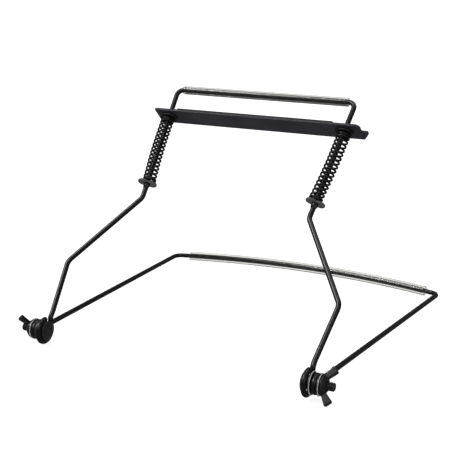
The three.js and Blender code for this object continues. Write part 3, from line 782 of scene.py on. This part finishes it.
# Foot, belly and head are how far the spring sways out at its foot, its widest and its top.
# The blend starts a little below the spring and ends a little above it.
spring = {"diameter": 8.6, "wire": 1.28, "turns": 17.75, "perTurn": 40, "around": 12,
          "closedPitch": 1.12, "closedTurns": 1.0, "easeTurns": 0.7, "lift": 0.62,
          "length": 47.6, "foot": -0.9, "belly": 0.62, "bellyAt": 0.7, "head": 0.5,
          "endShare": 0.75, "endReach": 0.1, "blendBelow": 2.2, "blendAbove": 2.6}


# Two round lobes joined by a narrower waist, as one outline: each lobe runs from where the
# waist's side meets its circle round to the other side.
def seatOutline():
    half, reach = seat["spacing"] / 2, seat["lobe"]
    meet = np.arcsin(seat["waist"] / 2 / reach)
    sweep = np.linspace(-(np.pi - meet), np.pi - meet, seat["lobeSteps"])
    lobe = np.column_stack([half + reach * np.cos(sweep), reach * np.sin(sweep)])
    return resampled(np.concatenate([lobe, -lobe]), seat["step"], closed=True)


# Spring's middle line: a circle of the mean radius that climbs by the closed pitch at both
# ends and by a wider, even pitch between, the climb being summed over small steps. The play
# round the wire lets it sway outwards: a quarter sine up to the belly, then a square fall.
def springLine(side):
    steps = int(spring["turns"] * spring["perTurn"])
    turn = np.linspace(0, spring["turns"], steps + 1)
    fromEnd = np.minimum(turn, spring["turns"] - turn)
    opened = smoothStep(np.clip((fromEnd - spring["closedTurns"]) / spring["easeTurns"], 0, 1))
    opened = (opened[1:] + opened[:-1]) / 2
    stepTurns = spring["turns"] / steps
    climb = spring["length"] - spring["wire"]
    closedClimb = spring["closedPitch"] * (stepTurns * (1 - opened)).sum()
    openPitch = (climb - closedClimb) / (stepTurns * opened).sum()
    rise = stepTurns * (spring["closedPitch"] * (1 - opened) + openPitch * opened)
    height = np.concatenate([[0], np.cumsum(rise)]) + spring["lift"] + spring["wire"] / 2
    share = height / spring["length"]
    toBelly = np.sin(quarter * np.clip(share / spring["bellyAt"], 0, 1))
    toHead = np.clip((share - spring["bellyAt"]) / (1 - spring["bellyAt"]), 0, 1) ** 2
    sway = (spring["foot"] + (spring["belly"] - spring["foot"]) * toBelly
            + (spring["head"] - spring["belly"]) * toHead)
    radius = (spring["diameter"] - spring["wire"]) / 2
    x, z = side * sway + radius * np.sin(tau * turn), radius * np.cos(tau * turn)
    return np.stack([x, height, z], 1)


# Circles square to the spring's wire, from the direction out of the spring's middle, with a
# smaller one a little past both ends
def springShell(side):
    line = springLine(side)
    turn = np.linspace(0, tau * spring["turns"], len(line))
    outward = np.stack([np.sin(turn), 0 * turn, np.cos(turn)], 1)
    direction, circle = circlesAlong(line, spring["around"], outward)
    radius = spring["wire"] / 2
    rows = line[:, None] + radius * circle
    small = spring["endShare"] * radius
    lead = line[0] + small * circle[0] - spring["endReach"] * direction[0]
    trail = line[-1] + small * circle[-1] + spring["endReach"] * direction[-1]
    return gridShell(np.concatenate([lead[None], rows, trail[None]]), poles=True)


holeAngle = np.linspace(0, tau, seat["holeSteps"], endpoint=False)
seatHole = seat["hole"] * np.column_stack([np.cos(holeAngle), np.sin(holeAngle)])
seatPlate = plateShell([seatOutline(), seatHole], seat["low"], seat["high"], seat["ease"])
footShare = ((seat["length"] - upright["waistLength"])
             / (upright["topLength"] - upright["waistLength"]))
footHalfWidth = (upright["waistHalfWidth"]
                 + footShare * (upright["topHalfWidth"] - upright["waistHalfWidth"]))
across, up, out = framePlace[1]
for sideName, side in sides:
    lean = side * upright["lean"]
    leaning = np.sin(lean) * across + np.cos(lean) * up
    square = np.cos(lean) * across - np.sin(lean) * up
    origin = framePlace[0] + mm * (side * footHalfWidth * across + seat["length"] * up)
    lobeWay = np.cos(seat["twist"]) * square + np.sin(seat["twist"]) * out
    seatPlace = (origin, np.array([lobeWay, np.cross(leaning, lobeWay), leaning]))
    piece(f"{sideName}Seat", [placed(seatPlate, seatPlace)],
          greyPlate, [f"{sideName}_spring_seat"], "upper_frame")
    springPlace = (origin, np.array([square, leaning, out]))
    coil = piece(f"{sideName}Spring", [placed(springShell(side), springPlace)],
                 springOxide, [f"{sideName}_spring"])
    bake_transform(coil)
print("springs wound")


# Heights run out from the holder's middle. The dimple is points of (radius, depth) in the
# bolt's end, and the slack lets the thread's crest clear the nut.
bolt = {"diameter": 5.0, "head": 11.6, "headHeight": 1.9, "headRim": 0.3, "headSeat": 82.0,
        "seatRadius": 0.2, "shankFrom": 82.1, "threadFrom": 92.5, "threadTo": 98.58,
        "end": 98.6, "chamfer": 0.6, "chamferLift": 0.08, "threadDepth": 0.42,
        "threadFade": 0.8, "pitch": 0.8, "crest": 1.3, "slack": 0.04, "crownFrom": 0.06,
        "crownSteps": 16, "rimStep": 0.5, "shankSteps": 12, "step": 0.06, "around": 72,
        "dimple": ((1.86, 0), (1.6, 0), (1.0, 0), (0.8, 0.02), (0.5, 0.16), (0.2, 0.26))}
washer = {"outer": 6.1, "middle": 6.5, "inner": 2.62, "thickness": 1.36, "rim": 0.3,
          "rolled": 0.55, "holeRadius": 0.3, "step": 0.5, "around": 96}
# Reach is out from the bolt's middle, rise along it from the nut's base
nut = {"base": 91.75, "foot": -0.28, "height": 2.8, "baseRadius": 5.3, "baseHeight": 0.8,
       "topRadius": 3.6, "bore": 2.58, "radii": (0.2, 0.3, 0.4, 0.4, 0.3), "around": 72,
       "tipReach": 9.55, "tipRise": 5.6, "rootReach": 5.2, "rootRise": 0.4,
       "coreReach": 3.2, "shoulderRise": 2.4, "wingWidth": 5.0, "wingThickness": 2.6,
       "wingEase": 0.7, "corner": 0.9, "rootCorner": 1.2, "flare": np.radians(43.5),
       "step": 0.5, "turn": np.radians(56), "voxel": 0.14, "smoothing": 9, "smoothShare": 0.5,
       "wornRadius": 0.6}


# Screw thread: past the head the radius falls in each pitch along a helix, less near the
# thread's start, and never stands out past the chamfered blank.
def threadRadius(radius, height, angle):
    share = np.mod(height / bolt["pitch"] - angle / tau, 1.0)
    ridge = np.abs(2 * share - 1) ** bolt["crest"]
    started = np.clip((height - bolt["threadFrom"]) / bolt["threadFade"], 0, 1)
    onShank = started * (radius > bolt["dimple"][1][0])
    thread = (bolt["diameter"] / 2 - bolt["slack"]
              - onShank * bolt["threadDepth"] * (1 - ridge))
    pastHead = height > bolt["shankFrom"] - bolt["step"]
    return np.where(pastHead, np.minimum(radius, thread), radius)


# Turned bolt: a quarter ellipse for the head's crown, its rim, the plain shank, the threaded
# part with a chamfer that falls with the way to the end, and the dimple
def boltShell():
    head, shank = bolt["head"] / 2, bolt["diameter"] / 2
    turn = np.linspace(bolt["crownFrom"], quarter, bolt["crownSteps"])
    dome = bolt["headHeight"] - bolt["headRim"]
    top = bolt["headSeat"] - bolt["headRim"]
    crown = np.column_stack([head * np.sin(turn), top - dome * np.cos(turn)])
    rim = filleted([crown[-1], [head, bolt["headSeat"]], [shank, bolt["headSeat"]]],
                   [0, bolt["seatRadius"], 0], steps=5)
    rim = resampled(rim, bolt["rimStep"])[1:]
    shankHeights = np.linspace(bolt["shankFrom"], bolt["threadFrom"], bolt["shankSteps"])
    plain = np.column_stack([np.full_like(shankHeights, shank), shankHeights])
    heights = np.arange(bolt["threadFrom"] + bolt["step"], bolt["threadTo"], bolt["step"])
    chamfered = shank - bolt["chamfer"] + (bolt["end"] - heights) + bolt["chamferLift"]
    threaded = np.column_stack([np.minimum(shank, chamfered), heights])
    dimple = [[radius, bolt["end"] - depth] for radius, depth in bolt["dimple"]]
    profile = np.concatenate([crown, rim, plain, threaded, dimple])
    return turnedShell(profile, bolt["around"], radiusAt=threadRadius)


# Ring whose one side is rolled over by the punch and whose other side has a crisper rim. The
# crisp side faces the holder's right on both joints.
def washerShell(radius, low, side):
    high = low + washer["thickness"]
    lowEase, highEase = (washer["rolled"], washer["rim"])[::side]
    profile = filleted(
        [[washer["inner"], low], [radius, low], [radius, high], [washer["inner"], high]],
        [washer["holeRadius"], lowEase, highEase, washer["holeRadius"]], closed=True, steps=8)
    profile = resampled(profile, washer["step"], closed=True)
    return turnedShell(profile, washer["around"], closed=True)


# Wing seen square to its plane: a tongue along the flare whose end has two round corners
def wingOutline():
    halfWay = nut["wingWidth"] / 2 * np.array([np.sin(nut["flare"]), -np.cos(nut["flare"])])
    tip = np.array([nut["tipReach"], nut["tipRise"]])
    corners = [[nut["coreReach"], nut["rootRise"]], [nut["rootReach"], nut["rootRise"]],
               tip + halfWay, tip - halfWay, [nut["coreReach"], nut["shoulderRise"]]]
    outline = filleted(corners, [0, nut["rootCorner"], nut["corner"], nut["corner"], 0],
                       closed=True)
    return resampled(outline, nut["step"], closed=True)


# Body and wings run together as in a casting: one skin over their union, smoothed
def castShell(shells):
    mesh = meshFrom("rough casting",
                    [placed(shell, (np.zeros(3), np.eye(3))) for shell in shells])
    rough = linked(bpy.data.objects.new("rough casting", mesh))
    skin = rough.modifiers.new("skin", "REMESH")
    skin.mode = "VOXEL"
    skin.voxel_size = nut["voxel"] * mm
    ease = rough.modifiers.new("ease", "SMOOTH")
    ease.factor = nut["smoothShare"]
    ease.iterations = nut["smoothing"]
    evaluated = rough.evaluated_get(bpy.context.evaluated_depsgraph_get())
    skinned = evaluated.to_mesh()
    points = np.empty(len(skinned.vertices) * 3)
    skinned.vertices.foreach_get("co", points)
    faces = [list(polygon.vertices) for polygon in skinned.polygons]
    loops = len(skinned.loops)
    evaluated.to_mesh_clear()
    bpy.data.objects.remove(rough)
    bpy.data.meshes.remove(mesh)
    return points.reshape(-1, 3) / mm, faces, np.zeros((loops, 2))


# Turned body that narrows from base to top, and two plates of the wing's outline, the
# second being the first turned by half a turn
def nutShell():
    profile = filleted(
        [[nut["bore"], nut["foot"]], [nut["baseRadius"], nut["foot"]],
         [nut["baseRadius"], nut["baseHeight"]], [nut["topRadius"], nut["height"]],
         [nut["bore"], nut["height"]]],
        nut["radii"], closed=True, steps=6)
    profile = resampled(profile, nut["step"], closed=True)
    body = turnedShell(profile, nut["around"], closed=True)
    half = nut["wingThickness"] / 2
    points, faces, uvs = plateShell([wingOutline()], -half, half, nut["wingEase"])
    reach, rise, through = points.T
    wings = [(np.column_stack([way * reach, way * through, rise]), faces, uvs)
             for way in (1, -1)]
    return castShell([body, *wings])


nutCast = nutShell()
c, s = np.cos(nut["turn"]), np.sin(nut["turn"])
nutTurn = np.array([[c, s, 0], [-s, c, 0], [0, 0, 1.0]])
washerLow = {"middle": stack["frameEye"] + wireRadius + stack["middleGap"],
             "outer": stack["yokeEye"] + wireRadius + stack["outerGap"]}
for sideName, side in sides:
    axes = np.array([[0, side, 0], [0, 0, 1], [side, 0, 0]], float)
    stackPlace = (pivot, axes)
    piece(f"{sideName}Bolt", [placed(boltShell(), stackPlace)],
          blackFastener, [f"{sideName}_pivot_bolt"], "yoke")
    for kind, low in washerLow.items():
        shell = washerShell(washer[kind], low, side)
        piece(f"{sideName}{kind.capitalize()}Washer", [placed(shell, stackPlace)],
              brightWasher, [f"{sideName}_{kind}_washer"],
              "yoke" if kind == "middle" else f"{sideName}_washer", edgeRadius=washer["rim"])
    nutPlace = (pivot + mm * nut["base"] * axes[2], nutTurn @ axes)
    piece(f"{sideName}WingNut", [placed(nutCast, nutPlace)],
          blackCasting, [f"{sideName}_wing_nut"], f"{sideName}_nut",
          edgeRadius=nut["wornRadius"])
print("joints bolted")


# White surface that shows in no reflection, and surroundings that light the holder a little
# and that the camera alone sees bright
stage = {"floor": (0.3, 0.3, 0.3), "glow": 0.9, "roughness": 0.9, "specular": 0.1,
         "ambient": 0.15, "backdrop": 0.95, "reach": 14.0, "level": -0.0002}
white = (1, 1, 1, 1)
floorMesh = bpy.data.meshes.new("floor")
floorMesh.from_pydata([(x * stage["reach"], y * stage["reach"], stage["level"])
                       for x, y in ((-1, -1), (1, -1), (1, 1), (-1, 1))], [], [(0, 1, 2, 3)])
floor = linked(bpy.data.objects.new("floor", floorMesh))
floorMaterial, _, floorShader = newMaterial("white table")
floorShader.inputs["Base Color"].default_value = (*stage["floor"], 1)
floorShader.inputs["Roughness"].default_value = stage["roughness"]
floorShader.inputs["Specular IOR Level"].default_value = stage["specular"]
floorShader.inputs["Emission Color"].default_value = white
floorShader.inputs["Emission Strength"].default_value = stage["glow"]
floorMesh.materials.append(floorMaterial)
floor.visible_glossy = False

world = bpy.data.worlds.new("studio")
world.use_nodes = True
surroundings = world.node_tree.nodes["Background"]
seen = addNode(world.node_tree, "ShaderNodeLightPath").outputs["Is Camera Ray"]
glow = remapped(world.node_tree, seen, 0.0, 1.0, stage["ambient"], stage["backdrop"])
world.node_tree.links.new(glow, surroundings.inputs["Strength"])
surroundings.inputs["Color"].default_value = white
bpy.context.scene.world = world

# Wide soft lights from far off: name, where the light comes from, width in degrees, strength
lamps = [("key", (-0.545, -0.42, 0.727), 26, 2.5),
         ("top", (0.1, 0.35, 1.6), 44, 0.9),
         ("side", (1.0, -0.9, 0.9), 36, 0.5)]
for name, towards, width, strength in lamps:
    lamp = bpy.data.lights.new(name, "SUN")
    lamp.energy = strength
    lamp.angle = np.radians(width)
    holder = linked(bpy.data.objects.new(name, lamp))
    holder.rotation_euler = Vector(towards).to_track_quat("Z", "Y").to_euler()

viewFrom = {"place": (0.2822, -0.5852, 0.2373), "forward": (-0.4366, 0.8603, -0.2632),
            "lens": 86.84, "sensor": 36, "nearest": 0.01}
lens = bpy.data.cameras.new("camera")
lens.sensor_width = viewFrom["sensor"]
lens.lens = viewFrom["lens"]
lens.clip_start = viewFrom["nearest"]
camera = linked(bpy.data.objects.new("camera", lens))
camera.location = viewFrom["place"]
camera.rotation_euler = Vector(viewFrom["forward"]).to_track_quat("-Z", "Y").to_euler()
bpy.context.scene.camera = camera
bpy.context.scene.view_settings.view_transform = "Standard"
print("stage set")
